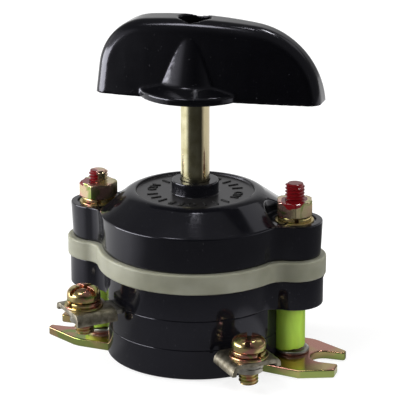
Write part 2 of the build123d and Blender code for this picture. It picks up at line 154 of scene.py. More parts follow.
dial_ring = (8.7, 3.6, 34.45)
handle_phenolic = phenolic("handle_phenolic", "#050507", "#0a0a0d", (0.13, 0.18))
black_phenolic = phenolic("black_phenolic", "#0d0d11", "#15151a", (0.07, 0.12))
cover_phenolic = phenolic("cover_phenolic", "#0a0a0d", "#111115", (0.1, 0.17), dial_ring)

# %% [markdown]
# ## Pale nylon
# The ring under the cover is natural nylon, moulded, cream and slightly see-through. Light spreads
# in it, so its edges glow a little. A paler colour would not do that, and subsurface scattering
# does. A slow cloud gives the uneven ageing, and a fine grain the dull skin.

# %% Pale nylon
pale_nylon, tree, shader, place = finish(
    "pale_nylon", Roughness=0.42, Subsurface_Weight=0.4, Subsurface_Scale=2.0 * MM)
shader.inputs["Subsurface Radius"].default_value = (1.0, 0.95, 0.7)
cloud = add(tree, "TexNoise", {"Vector": place, "Scale": per(9), "Detail": 3.0})
grain = add(tree, "TexNoise", {"Vector": place, "Scale": per(0.8), "Detail": 2.0})
uneven = add(tree, "MapRange", {"Value": cloud.outputs["Fac"], "From Min": 0.3, "From Max": 0.7})
colour = add(tree, "Mix", {FACTOR: uneven.outputs[0], COLOUR_A: linear("#7a7a6a"),
                           COLOUR_B: linear("#969687")}, data_type="RGBA").outputs[COLOUR]
bump = add(tree, "Bump", {"Height": grain.outputs["Fac"], "Strength": 0.12, "Distance": 0.05 * MM})
tree.links.new(colour, shader.inputs["Base Color"])
tree.links.new(bump.outputs[0], shader.inputs["Normal"])

# %% [markdown]
# ## Yellow-passivated zinc
# The strap, studs, nuts and screws are steel, zinc-plated and dipped in a yellow passivate. The
# film is so thin that it shows rainbow patches, gold with pink and green. A thin film can be worked
# out by the shader, but two slow noises that choose between three colours are easier to steer. A
# third one roughens the plating, whose grit is finer in truth and is drawn so that it shows. The
# nuts and stud ends have a paler film. A thick red lacquer, brushed over them as a lock, is painted
# on here too, as spots that end the metal.

# %% Yellow zinc
plating_grit = 0.5
paint_edge = 1.6
lock_paint = [((-23.6, -0.8, 35.0), 1.7), ((-22.6, -1.3, 36.4), 1.7), ((21.3, 0.0, 35.7), 2.7),
              ((21.3, 0.0, 37.4), 2.9), ((21.6, -2.1, 36.2), 2.9)]


def yellow_zinc(name, patch, pink_from, shine=1.0, green_sides=0.0, paint=(),
                gold="#c9b47c", pink="#cb9181"):
    """Passivated zinc with patches of a size in millimetres, pink where the noise passes a level.

    A dusty film leaves a share of bare shine, upright faces may turn green, and lock paint lies
    on spots (place, radius) with an uneven edge."""
    zinc, tree, shader, place = finish(name, Metallic=shine)
    first = add(tree, "TexNoise", {"Vector": place, "Scale": per(patch), "Detail": 1.5})
    second = add(tree, "TexNoise", {"Vector": place, "Scale": per(patch * 0.7), "Detail": 1.5,
                                    "Distortion": 0.6}).outputs["Fac"]
    fine = add(tree, "TexNoise", {"Vector": place, "Scale": per(plating_grit), "Detail": 3.0})
    to_pink = add(tree, "MapRange", {"Value": first.outputs["Fac"], "From Min": pink_from,
                                     "From Max": pink_from + 0.16}).outputs[0]
    to_green = add(tree, "MapRange", {"Value": second, "From Min": 0.55, "From Max": 0.69}).outputs[0]
    facing = add(tree, "SeparateXYZ", {0: add(tree, "TexCoord").outputs["Normal"]}).outputs["Z"]
    upright = add(tree, "MapRange", {"Value": facing, "From Min": 0.6, "From Max": 0.2,
                                     "To Max": green_sides}).outputs[0]
    broken = add(tree, "MapRange", {"Value": second, "From Min": 0.38, "From Max": 0.54,
                                    "To Min": 0.3}).outputs[0]
    upright = add(tree, "Math", {0: upright, 1: broken}, operation="MULTIPLY").outputs[0]
    green = add(tree, "Math", {0: to_green, 1: upright}, operation="MAXIMUM").outputs[0]
    colour = add(tree, "Mix", {FACTOR: to_pink, COLOUR_A: linear(gold), COLOUR_B: linear(pink)},
                 data_type="RGBA").outputs[COLOUR]
    colour = add(tree, "Mix", {FACTOR: green, COLOUR_A: colour, COLOUR_B: linear("#94a75c")},
                 data_type="RGBA").outputs[COLOUR]
    rough = add(tree, "MapRange", {"Value": fine.outputs["Fac"], "To Min": 0.1,
                                   "To Max": 0.28}).outputs[0]
    painted = 0.0
    for centre, radius in paint:
        away = add(tree, "VectorMath", {0: place, 1: [c * MM for c in centre]}, operation="DISTANCE")
        uneven = add(tree, "Math", {0: second, 1: paint_edge * MM, 2: away.outputs["Value"]},
                     operation="MULTIPLY_ADD").outputs[0]
        spot = add(tree, "Math", {0: uneven, 1: (radius + paint_edge / 2) * MM},
                   operation="LESS_THAN").outputs[0]
        painted = add(tree, "Math", {0: spot, 1: painted}, operation="MAXIMUM").outputs[0]
    if paint:
        colour = add(tree, "Mix", {FACTOR: painted, COLOUR_A: colour, COLOUR_B: linear("#660d12")},
                     data_type="RGBA").outputs[COLOUR]
        rough = add(tree, "Mix", {FACTOR: painted, VALUE_A: rough, VALUE_B: 0.12}).outputs[VALUE]
        bare = add(tree, "Mix", {FACTOR: painted, VALUE_A: shine, VALUE_B: 0.0}).outputs[VALUE]
        tree.links.new(bare, shader.inputs["Metallic"])
    bump = add(tree, "Bump", {"Height": fine.outputs["Fac"], "Strength": 0.1, "Distance": 0.03 * MM})
    dress(tree, shader, colour, rough, bump)
    return zinc


plate_zinc = yellow_zinc("yellow_zinc_plate", 8.0, 0.38, green_sides=0.9)
screw_zinc = yellow_zinc("yellow_zinc_hardware", 2.6, 0.44, shine=0.96)
washer_zinc = yellow_zinc("yellow_zinc_washers", 2.6, 0.58, shine=0.8)
painted_zinc = yellow_zinc("painted_zinc", 3.6, 0.46, shine=0.96, paint=lock_paint,
                           gold="#d8c89f", pink="#e2b2a4")

# %% [markdown]
# ## Bright and dull metals
# The shaft is drawn steel with a warm lacquer and fine marks along it, and a tan reflection is painted
# on one side. The saddles are dull nickel with stains, the contact strips tinned brass, the collars
# under the sleeves bright zinc, the inner contacts brass and the snap parts plain steel. Each could
# have a tree of its own,
# but one recipe gives them all: two colours of stain, a range of roughness and a grain that may be
# stretched one way. The grain is finer in truth, and is drawn so that it shows.

# %% Metals
grain_size = 0.4
# The side of the shaft that gets a painted tan reflection.
shaft_sheen_side = (0.955, 0.297, 0.0)


def metal(name, dark, light, stain, rough, grain=(1, 1, 1), grit=0.15, sheen_side=None):
    """Metal with stains of a size in millimetres, and a grain stretched by a scale per axis.

    A direction given as sheen_side paints a tan reflection on that side of the axis."""
    made, tree, shader, place = finish(name, Metallic=1.0)
    cloud = add(tree, "TexNoise", {"Vector": place, "Scale": per(stain), "Detail": 3.0}).outputs["Fac"]
    lie = add(tree, "Mapping", {"Vector": place, "Scale": grain})
    marks = add(tree, "TexNoise", {"Vector": lie.outputs[0], "Scale": per(grain_size),
                                   "Detail": 2.0}).outputs["Fac"]
    spread = add(tree, "MapRange", {"Value": cloud, "From Min": 0.35, "From Max": 0.65}).outputs[0]
    colour = add(tree, "Mix", {FACTOR: spread, COLOUR_A: linear(dark), COLOUR_B: linear(light)},
                 data_type="RGBA").outputs[COLOUR]
    # A painted reflection turns this side of the shaft tan.
    if sheen_side:
        side = add(tree, "VectorMath", {0: place, 1: sheen_side}, operation="DOT_PRODUCT").outputs["Value"]
        painted_tan = add(tree, "MapRange", {"Value": side, "From Min": 0.4 * MM, "From Max": 1.4 * MM})
        colour = add(tree, "Mix", {FACTOR: painted_tan.outputs[0], COLOUR_A: colour,
                                   COLOUR_B: linear("#b9ad8c")}, data_type="RGBA").outputs[COLOUR]
    gloss = add(tree, "MapRange", {"Value": marks, "To Min": rough[0], "To Max": rough[1]})
    bump = add(tree, "Bump", {"Height": marks, "Strength": grit, "Distance": 0.02 * MM})
    dress(tree, shader, colour, gloss.outputs[0], bump)
    return made


shaft_steel = metal("drawn_shaft_steel", "#cfc79c", "#ece6c0", 2.6, (0.1, 0.2), (1.0, 1.0, 0.3),
                    grit=0.3, sheen_side=shaft_sheen_side)
dull_nickel = metal("dull_nickel", "#857e6d", "#c2bba8", 1.2, (0.28, 0.5), grit=0.6)
silver_zinc = metal("bright_zinc", "#b9b9b2", "#dcdbd2", 2.0, (0.25, 0.4))
contact_brass = metal("contact_brass", "#4d3a24", "#6e5230", 3.0, (0.3, 0.5))
tinned_brass = metal("tinned_brass", "#a09c92", "#c8c4b8", 2.0, (0.25, 0.45))
snap_steel = metal("snap_steel", "#77777a", "#98989b", 4.0, (0.25, 0.4))

# %% [markdown]
# ## Plastics
# The sleeves are extruded lime PVC tube, the arc discs punched from red vulcanised fibre, the
# spindle is brown moulded phenolic and the dial's marks are matt black phenolic. None shines much,
# so they share a recipe as the metals do: two colours of stain, a range of roughness and a slight
# ripple, drawn out along the tube for the sleeves.

# %% Plastics
def plastic(name, dark, light, stain, rough, ripple, grain=(1, 1, 1), **sockets):
    """Coloured plastic with stains of a size and a surface ripple of a height in millimetres."""
    made, tree, shader, place = finish(name, **sockets)
    lie = add(tree, "Mapping", {"Vector": place, "Scale": grain})
    cloud = add(tree, "TexNoise", {"Vector": lie.outputs[0], "Scale": per(stain),
                                   "Detail": 3.0}).outputs["Fac"]
    spread = add(tree, "MapRange", {"Value": cloud, "From Min": 0.35, "From Max": 0.65}).outputs[0]
    colour = add(tree, "Mix", {FACTOR: spread, COLOUR_A: linear(dark), COLOUR_B: linear(light)},
                 data_type="RGBA").outputs[COLOUR]
    gloss = add(tree, "MapRange", {"Value": cloud, "To Min": rough[0], "To Max": rough[1]})
    bump = add(tree, "Bump", {"Height": cloud, "Strength": 0.3, "Distance": ripple * MM})
    dress(tree, shader, colour, gloss.outputs[0], bump)
    return made


green_pvc = plastic("lime_pvc", "#9bbf40", "#b3d950", 2.5, (0.3, 0.45), 0.05, (1, 1, 0.25),
                    Subsurface_Weight=0.15, Subsurface_Scale=0.8 * MM)
red_fibre = plastic("red_fibre", "#6d2018", "#84301f", 1.5, (0.55, 0.75), 0.03)
brown_phenolic = plastic("brown_phenolic", "#2a1a12", "#3a251a", 3.0, (0.35, 0.5), 0.02)
matt_phenolic = plastic("matt_phenolic", "#0b0b0c", "#161617", 0.8, (0.5, 0.7), 0.02)

# %% [markdown]
# ## Working as by hand
# Pieces are worked as by hand: a primitive or a copy, edit mode, operators, then modifiers. An
# operator acts on all that is selected, and the loaded solids are all selected at first, so each
# step starts by deselecting them.

# %% Modelling helpers
merge_reach = 0.002 * MM
same_plane = radians(0.6)


def deselect():
    """Leaves nothing selected, in object mode."""
    if bpy.context.mode != "OBJECT":
        bpy.ops.object.mode_set(mode="OBJECT")
    bpy.ops.object.select_all(action="DESELECT")


def placed(name, data):
    """A new object with this data, in the scene."""
    made = bpy.data.objects.new(name, data)
    bpy.context.scene.collection.objects.link(made)
    return made


def pick(piece):
    """Makes this piece the only selected one."""
    deselect()
    piece.select_set(True)
    bpy.context.view_layer.objects.active = piece


def edit(piece, how="SELECT"):
    """Opens the piece in edit mode with all of it, or nothing, selected."""
    pick(piece)
    bpy.ops.object.mode_set(mode="EDIT")
    bpy.ops.mesh.select_all(action=how)


def apply(piece, kind, **settings):
    """Adds a modifier with these settings and applies it."""
    pick(piece)
    modifier = piece.modifiers.new(kind.lower(), kind)
    for name, value in settings.items():
        setattr(modifier, name, value)
    bpy.ops.object.modifier_apply(modifier=modifier.name)


def soften(piece, width, segments=2, angle=32):
    """Rounds the edges sharper than an angle, and smooths the shading between the rest."""
    apply(piece, "BEVEL", width=width * MM, segments=segments, limit_method="ANGLE",
          angle_limit=radians(angle), use_clamp_overlap=False, harden_normals=False)
    pick(piece)
    bpy.ops.object.shade_smooth_by_angle(angle=radians(angle))
    apply(piece, "WEIGHTED_NORMAL", keep_sharp=True, weight=80)


def keep(piece, body, slot, finish, *nodes):
    """Gives a piece its finish and its body, and hides what it stands for; its slot is not used."""
    piece.data.materials.clear()
    piece.data.materials.append(finish)
    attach(piece, body)
    if nodes:
        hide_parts(*nodes)


# %% [markdown]
# ## Moulded bodies
# The moulded parts already have the right shape as solids, but their edges are knife-sharp, and no
# moulding comes out like that. They could be drawn again, but a copy is exact: its triangles are
# merged to whole faces, and a bevel rounds its edges to about a third of a millimetre, which is what
# catches the light. The rim round the dial has a larger round of its own. The ring and the strap
# are made in the same way.

# %% Moulded bodies
on_circle = 0.03


def copy_of_solid(node, name):
    """Copies a solid's mesh to a new piece and merges its loose triangles, in edit mode."""
    piece = placed(name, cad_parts[node].data.copy())
    edit(piece)
    bpy.ops.mesh.customdata_custom_splitnormals_clear()
    bpy.ops.mesh.remove_doubles(threshold=merge_reach)
    return piece


def moulded(node, name, width, segments=2, rounds=()):
    """Copies a solid, merges its triangles into whole faces and rounds its sharp edges.

    Rounds are (radius, height, reach) of circular edges to be rounded more than the rest."""
    piece = copy_of_solid(node, name)
    bpy.ops.mesh.dissolve_limited(angle_limit=same_plane, delimit={"NORMAL"})
    for radius, height, reach in rounds:
        bpy.ops.mesh.select_all(action="DESELECT")
        bpy.ops.object.mode_set(mode="OBJECT")
        for vertex in piece.data.vertices:
            x, y, z = vertex.co / MM
            vertex.select = abs(hypot(x, y) - radius) < on_circle and abs(z - height) < on_circle
        bpy.ops.object.mode_set(mode="EDIT")
        bpy.ops.mesh.bevel(offset=reach * MM, segments=6, affect="EDGES")
    soften(piece, width, segments)
    print(name, "made from", node, "with", len(piece.data.polygons), "faces")
    return piece


dial_rim = (13.6, 35.1, 1.1)
for node, name, width, rounds, made in (
        ("cover", "cover_shell", 0.3, [dial_rim], cover_phenolic),
        ("upper_packet", "packet_top", 0.2, [], black_phenolic),
        ("middle_packet", "packet_middle", 0.2, [], black_phenolic),
        ("lower_packet", "packet_bottom", 0.2, [], black_phenolic)):
    keep(moulded(node, name, width, rounds=rounds), "housing", "black_phenolic", made, node)

# %% [markdown]
# ## Handle
# The handle is one moulding with soft edges and a soft hollow where its hub grows out of the blade.
# Its curved solid has no flat faces to merge, and a bevel can't round an inner corner like that one.
# So it is given an even skin of small faces, which is then smoothed. The flange and lower edge stay
# crisp, and half of the faces are taken away again where they aren't needed.

# %% Handle
def relaxed(node, name, cell, rounds, crisp_below):
    """Copies a solid as one even skin and relaxes it, so that edges and inner corners turn soft.

    Below the given height the skin stays as it is."""
    piece = copy_of_solid(node, name)
    apply(piece, "REMESH", mode="VOXEL", voxel_size=cell * MM, use_smooth_shade=True)
    upper = piece.vertex_groups.new(name="upper")
    upper.add([v.index for v in piece.data.vertices if v.co.z > crisp_below * MM], 1.0, "REPLACE")
    apply(piece, "SMOOTH", factor=0.5, iterations=rounds, vertex_group="upper")
    piece.vertex_groups.clear()
    apply(piece, "DECIMATE", ratio=0.5)
    pick(piece)
    bpy.ops.object.shade_smooth()
    print(name, "made from", node, "with", len(piece.data.polygons), "faces")
    return piece


skin_cell, skin_rounds, crisp_height = 0.25, 5, 56.0
handle_skin = relaxed("handle", "handle_body", skin_cell, skin_rounds, crisp_height)
keep(handle_skin, "handle", "black_phenolic", handle_phenolic, "handle")

# %% Ring and strap
ring = moulded("index_plate", "index_ring", 0.12)
keep(ring, "housing", "pale_nylon", pale_nylon, "index_plate")
strap = moulded("base_strap", "strap_plate", 0.28, 3)
keep(strap, "housing", "yellow_zinc_steel", plate_zinc, "base_strap")

# %% [markdown]
# ## Threads
# A screw thread is one small notch carried round and up. It could be faked with a bump, but then its
# outline would stay smooth. So the notch is drawn once as a short chain of edges, a Screw modifier
# winds it, and the ends are sawn flat with bisect. The turns are merged before the saw, so that it
# can close each end. A turned point ends the tip. Threads here are 4 mm across with a 0.7 mm pitch.

# %% Turned pieces
def traced(name, points, fill="NOTHING"):
    """A closed chain of edges through points in millimetres."""
    deselect()
    bpy.ops.mesh.primitive_circle_add(vertices=len(points), fill_type=fill)
    piece = bpy.context.object
    piece.name = name
    for vertex, point in zip(piece.data.vertices, points):
        vertex.co = [c * MM for c in point]
    return piece


def oblong(left, right, low, high):
    """The four corners of a rectangle, in order."""
    return [(left, low), (right, low), (right, high), (left, high)]


def spun(name, outline, steps=64, centre=(0, 0)):
    """A closed outline of (radius, height), spun round an upright axis."""
    piece = traced(name, [(centre[0] + radius, centre[1], height) for radius, height in outline])
    edit(piece)
    bpy.ops.mesh.spin(steps=steps, angle=2 * pi, axis=(0, 0, 1),
                      center=(centre[0] * MM, centre[1] * MM, 0))
    bpy.ops.mesh.select_all(action="SELECT")
    bpy.ops.mesh.remove_doubles(threshold=merge_reach)
    bpy.ops.mesh.normals_make_consistent(inside=False)
    deselect()
    return piece


def joined(name, *pieces):
    """Makes one object of several."""
    deselect()
    for piece in pieces:
        piece.select_set(True)
    bpy.context.view_layer.objects.active = pieces[0]
    bpy.ops.object.join()
    pieces[0].name = name
    return pieces[0]


# %% Thread
thread_radius, thread_root, thread_pitch, thread_land = 2.0, 1.62, 0.7, 0.06
tip_depth, tip_taper, saw_short = 0.35, 0.2, 0.05
point_radius, point_face, point_chamfer = 1.72, 1.45, 0.25


def thread(name, low, high, tip_up):
    """A threaded end on the Z axis, with its tip drawn in to a chamfer."""
    half = thread_pitch / 2
    notch = [(thread_root, -half), (thread_root, -half + thread_land), (thread_radius, -thread_land),
             (thread_radius, thread_land), (thread_root, half - thread_land), (thread_root, half)]
    turns = int((high - low) / thread_pitch) + 3
    start = low - 1.5 * thread_pitch
    piece = traced(name, [(radius, 0, start + height) for radius, height in notch])
    edit(piece, "DESELECT")
    bpy.ops.object.mode_set(mode="OBJECT")
    for edge in piece.data.edges:
        edge.select = set(edge.vertices) == {0, len(notch) - 1}
    bpy.ops.object.mode_set(mode="EDIT")
    bpy.ops.mesh.select_mode(type="EDGE")
    bpy.ops.mesh.delete(type="EDGE")
    bpy.ops.mesh.select_mode(type="VERT")
    apply(piece, "SCREW", angle=2 * pi, screw_offset=thread_pitch * MM, iterations=turns, steps=28,
          render_steps=28, use_merge_vertices=True, merge_threshold=merge_reach)
    sawn_low, sawn_high = (low, high - saw_short) if tip_up else (low + saw_short, high)
    for height, keep_up in ((sawn_low, True), (sawn_high, False)):
        edit(piece)
        bpy.ops.mesh.remove_doubles(threshold=merge_reach)
        bpy.ops.mesh.bisect(plane_co=(0, 0, height * MM), plane_no=(0, 0, 1), use_fill=True,
                            clear_inner=keep_up, clear_outer=not keep_up, threshold=0.001 * MM)
    bpy.ops.mesh.select_all(action="SELECT")
    bpy.ops.mesh.remove_doubles(threshold=merge_reach)
    bpy.ops.mesh.normals_make_consistent(inside=False)
    bpy.ops.object.mode_set(mode="OBJECT")
    end = high if tip_up else low
    for vertex in piece.data.vertices:
        depth = abs(vertex.co.z / MM - end)
        if depth < tip_depth:
            draw_in = 1 - tip_taper * (1 - depth / tip_depth)
            vertex.co.x *= draw_in
            vertex.co.y *= draw_in
    way = 1 if tip_up else -1
    point = spun("point", [(0, end - way), (point_radius, end - way),
                           (point_radius, end - way * point_chamfer), (point_face, end), (0, end)], 32)
    piece = joined(name, piece, point)
    pick(piece)
    bpy.ops.object.shade_smooth_by_angle(angle=radians(40))
    return piece


print("Thread:", 2 * thread_radius, "mm across, pitch", thread_pitch, "mm")

# %% [markdown]
# ## Tie studs
# Each stud is riveted into the strap, runs through its sleeve and the ears and ends in a thread
# above its nut. Only the end shows, so the rest is a plain turned rod, joined to a threaded end. A
# bright collar on the strap carries the sleeve.

# %% Tie studs
stud_x, stud_foot = 21.3, 0.1
nut_low, nut_high = 31.7, 34.9
strap_top, collar_top, collar_radius = 1.8, 2.6, 3.5
stud_tops = {"left": 37.4, "right": 38.4}
stud_sides = {"left": -stud_x, "right": stud_x}
for side, x in stud_sides.items():
    rod = spun("rod", oblong(0, thread_radius, stud_foot, nut_low), 32)
    end = thread("end", nut_low, stud_tops[side], True)
    stud = joined(f"tie_stud_{side}", rod, end)
    stud.data.transform(Matrix.Translation((x * MM, 0, 0)))
    keep(stud, "housing", "yellow_zinc_steel", painted_zinc, f"stud_{side}")
    band = oblong(thread_radius, collar_radius, strap_top, collar_top)
    collar = spun(f"stud_collar_{side}", band, 48, (x, 0))
    soften(collar, 0.3, 3)
    keep(collar, "housing", "nickel_steel", silver_zinc)
    print(stud.name, len(stud.data.polygons), "faces")

# %% [markdown]
# ## Nuts
# A nut is sawn from six-sided bar and turned at both ends, which leaves curved chamfers on its
# corners. A bevel would give straight ones. So a six-sided bar is cut by a turned ring, which gives
# the bore and the curved chamfers at once, as on the lathe. Two copies are turned as they happened
# to be tightened.

# %% Bar, cut and copy
def slab(name, outline, low, high):
    """A flat outline of (x, y), filled and extruded from one height to another."""
    piece = traced(name, [(x, y, low) for x, y in outline], "NGON")
    edit(piece)
    bpy.ops.mesh.extrude_region_move(TRANSFORM_OT_translate={"value": (0, 0, (high - low) * MM)})
    bpy.ops.mesh.select_all(action="SELECT")
    bpy.ops.mesh.normals_make_consistent(inside=False)
    deselect()
    return piece


def cut(piece, tool, how="DIFFERENCE"):
    """Cuts a piece with another, which is used up."""
    apply(piece, "BOOLEAN", object=tool, operation=how, solver="EXACT")
    bpy.data.objects.remove(tool)


def copied(piece, name, place):
    """A copy with its own mesh, moved by a matrix."""
    copy = placed(name, piece.data.copy())
    copy.data.transform(place)
    return copy


def at_each(model, name, spots):
    """Copies a model to each place and makes one piece of them, the model being used up."""
    copies = [copied(model, f"{name}_{k}", place) for k, place in enumerate(spots)]
    bpy.data.objects.remove(model)
    return joined(name, *copies)


# %% Nuts
nut_flats, nut_bore, chamfer_in, chamfer_down, spare = 7.0, 1.9, 0.62, 0.32, 0.1
nut_turns = {"left": 27.0, "right": 47.0}


def nut(name):
    """Hexagon nut, standing on z = 0."""
    height = nut_high - nut_low
    corner = nut_flats / 3 ** 0.5
    sixth = pi / 3
    bar = slab(name, [(corner * cos(k * sixth), corner * sin(k * sixth)) for k in range(6)], 0, height)
    crown = spun("crown", [(nut_bore, -spare), (corner - chamfer_in, -spare),
                           (corner + spare, chamfer_down), (corner + spare, height - chamfer_down),
                           (corner - chamfer_in, height + spare), (nut_bore, height + spare)], 72)
    cut(bar, crown, "INTERSECT")
    soften(bar, 0.16, 2, 24)
    return bar


nuts = at_each(nut("nut"), "tie_nuts", [Matrix.Translation((x * MM, 0, nut_low * MM))
                                        @ Matrix.Rotation(radians(nut_turns[side]), 4, "Z")
                                        for side, x in stud_sides.items()])
keep(nuts, "housing", "yellow_zinc_steel", painted_zinc, "stud_nuts")
print(nuts.name, len(nuts.data.polygons), "faces")

# %% [markdown]
# ## Washers
# Under each nut lie a punched flat washer and a split lock washer, a square wire wound almost once
# round. A torus with a gap would lie flat, so the wire is wound by the Screw modifier, a little
# uphill, and its two ends are closed. Each kind is modelled once at the origin and copied.

# %% Washers
clear_radius = 2.15
flat_size = (4.0, clear_radius, 0.5)
split_size = (3.5, clear_radius, 1.0)
split_rise, split_gap = 0.18, 16


def split_washer(name, radius, bore, thickness):
    """Lock washer, standing on z = 0."""
    wire = thickness - split_rise
    piece = traced(name, [(reach, 0, height) for reach, height in oblong(bore, radius, 0, wire)])
    apply(piece, "SCREW", angle=radians(360 - split_gap), screw_offset=split_rise * MM, iterations=1,
          steps=44, render_steps=44, use_merge_vertices=False)
    edit(piece, "DESELECT")
    bpy.ops.mesh.select_mode(type="EDGE")
    bpy.ops.mesh.select_non_manifold()
    bpy.ops.mesh.edge_face_add()
    bpy.ops.mesh.select_mode(type="VERT")
    bpy.ops.mesh.select_all(action="SELECT")
    bpy.ops.mesh.normals_make_consistent(inside=False)
    soften(piece, 0.12)
    return piece


def flat_washer(name, radius, bore, thickness):
    """Punched washer, standing on z = 0."""
    piece = spun(name, oblong(bore, radius, 0, thickness), 56)
    soften(piece, 0.14)
    return piece


ear_seat = 30.2
split_seat = ear_seat + flat_size[2]
turn_gap = Matrix.Rotation(radians(-60), 4, "Z")
flat = at_each(flat_washer("flat", *flat_size), "tie_flat_washers",
               [Matrix.Translation((x * MM, 0, ear_seat * MM)) for x in stud_sides.values()])
split = at_each(split_washer("split", *split_size), "tie_lock_washers",
                [Matrix.Translation((x * MM, 0, split_seat * MM)) @ turn_gap
                 for x in stud_sides.values()])
keep(flat, "housing", "yellow_zinc_steel", washer_zinc, "stud_flat_washers")
keep(split, "housing", "yellow_zinc_steel", washer_zinc, "stud_spring_washers")
print(flat.name, split.name)

# %% [markdown]
# ## Sleeves
# A short length of lime tube insulates each stud between the strap and the ear. It was cut with a
# blade, so its lower end isn't quite square, and it is squeezed a little out of round. A plain
# turned tube has none of that, so its points are moved after the spin.

# %% Sleeves
sleeve_high, sleeve_radius, sleeve_wall_middle, sleeve_rings = 12.8, 3.3, 3.0, 10
sleeve_length = sleeve_high - collar_top
lean = {"left": (0.0, 0.0), "right": (-0.72, -0.22)}
for side, x in stud_sides.items():
    rings = [collar_top + sleeve_length * k / sleeve_rings for k in range(sleeve_rings + 1)]
    outline = [(sleeve_radius, z) for z in rings] + [(clear_radius, z) for z in reversed(rings)]
    tube = spun(f"tube_{side}", outline, 64)
    for vertex in tube.data.vertices:
        turn = atan2(vertex.co.y, vertex.co.x)
        depth = (vertex.co.z / MM - collar_top) / sleeve_length
        if hypot(vertex.co.x, vertex.co.y) > sleeve_wall_middle * MM:
            swell = 1 + 0.015 * sin(2 * turn + 0.7) * (1 - depth)
            vertex.co.x = vertex.co.x * swell + lean[side][0] * MM
            vertex.co.y = vertex.co.y * swell + lean[side][1] * MM
        ragged = 0.3 + 0.3 * cos(turn) + 0.07 * sin(5 * turn + 1) + 0.05 * sin(11 * turn)
        vertex.co.z += max(0.0, ragged) * MM * max(0.0, 1 - 3 * depth)
    soften(tube, 0.12)
    tube.data.transform(Matrix.Translation((x * MM, 0, 0)))
    keep(tube, "housing", "green_pvc", green_pvc, f"sleeve_{side}")
    print(tube.name, len(tube.data.polygons), "faces")

# %% [markdown]
# ## Terminals
# Each of the four terminals is a tinned strip, a bent saddle that grips the wire, a flat and a split
# washer and a screw with a cross-slotted head. The strips are copies of their solids with softened
# edges. The rest is modelled on the axis, standing on the strip's top face, and moved to the four
# places round it.

# %% Terminal places
terminal_radius, upper_seam, lower_seam = 25.7, 12.8, 6.5
terminals = {"rear_right": (upper_seam, 48), "front_left": (upper_seam, -135),
             "rear_left": (lower_seam, 135), "front_right": (lower_seam, -48)}
spots = {name: Matrix.Rotation(radians(turn), 4, "Z") @ Matrix.Translation((0, 0, seam * MM))
         for name, (seam, turn) in terminals.items()}
out = Matrix.Translation((terminal_radius * MM, 0, 0))
for name in terminals:
    keep(moulded(f"contact_strip_{name}", f"strip_{name}", 0.12), "housing", "contact_brass",
         tinned_brass, f"contact_strip_{name}")

# %% [markdown]
# ## Saddles
# A saddle is a strip of nickel-plated steel with both sides bent down, one deeper than the other. A
# plate could be bent with a modifier, but its end view is simple: it is drawn flat, extruded along
# the saddle, laid over and drilled.

# %% Saddles
saddle_half, saddle_thick, saddle_length, saddle_set_in = 5.4, 1.0, 9.0, 0.7
deep_lip, shallow_lip, drill_reach = (2.5, 2.0), (1.7, 1.2), 3
saddle_turns = {"rear_right": -6}


def saddle(name, side):
    """Bent clamp with the deep lip on one side and a shallow one opposite."""
    arc = [radians(90 - 15 * k) for k in range(7)]
    outer, inner = [], []
    for across, (drop, bend) in ((side, deep_lip), (-side, shallow_lip)):
        bend_y, bend_z = saddle_half - bend, saddle_thick - bend
        tight = bend - saddle_thick
        edge = [(across * (bend_y + bend * cos(a)), bend_z + bend * sin(a)) for a in arc]
        under = [(across * (bend_y + tight * cos(a)), bend_z + tight * sin(a)) for a in arc]
        edge.append((across * saddle_half, saddle_thick - drop))
        under.append((across * (saddle_half - saddle_thick), saddle_thick - drop))
        outer = outer[::-1] + edge
        inner = inner[::-1] + under
    piece = slab(name, outer + inner[::-1], -saddle_length / 2, saddle_length / 2)
    lay_over = Matrix(((0, 0, 1, -saddle_set_in * MM), (1, 0, 0, 0), (0, 1, 0, 0), (0, 0, 0, 1)))
    piece.data.transform(lay_over)
    cut(piece, spun("hole", oblong(0, clear_radius, -drill_reach, drill_reach), 32))
    soften(piece, 0.18)
    return piece


for name, spot in spots.items():
    askew = Matrix.Rotation(radians(saddle_turns.get(name, 0)), 4, "Z")
    clamp = saddle(f"clamp_{name}", 1 if terminals[name][0] == upper_seam else -1)
    clamp.data.transform(spot @ out @ askew)
    keep(clamp, "housing", "nickel_steel", dull_nickel, f"saddle_{name}")
print("Saddles:", len(spots))

# %% [markdown]
# ## Terminal screws
# The screws are cold-headed, with a domed head and two crossing slots. The head is turned, its flat
# faces are merged so that the cuts come out clean, and two bars cut the slots, one a little deeper
# so that their floors don't fall in one plane. Every head has stopped at another angle.

# %% Terminal screws
head_radius, head_height, head_flat, head_side = 3.45, 2.7, 1.7, 1.2
foot_in, foot_up = 0.2, 0.25
slot_half, slot_depth, slot_step, slot_reach = 0.5, 1.3, 0.05, 5
shank_length = 7.4


def screw():
    """Domed head with two crossing slots on a threaded shank, the head's underside at z = 0."""
    dome = [radians(90 * k / 8) for k in range(9)]
    crown = [(head_flat + (head_radius - head_flat) * cos(a),
              head_side + (head_height - head_side) * sin(a)) for a in dome]
    head = spun("head", [(0, 0), (head_radius - foot_in, 0), (head_radius, foot_up), *crown,
                         (0, head_height)], 56)
    edit(head)
    bpy.ops.mesh.dissolve_limited(angle_limit=same_plane)
    for k in range(2):
        slot = slab("slot", oblong(-slot_reach, slot_reach, -slot_half, slot_half),
                    head_height - slot_depth + slot_step * k, slot_reach)
        slot.data.transform(Matrix.Rotation(k * pi / 2, 4, "Z"))
        cut(head, slot)
    soften(head, 0.09, 2, 30)
    return joined("screw_model", head, thread("shank", -shank_length, 0.0, False))


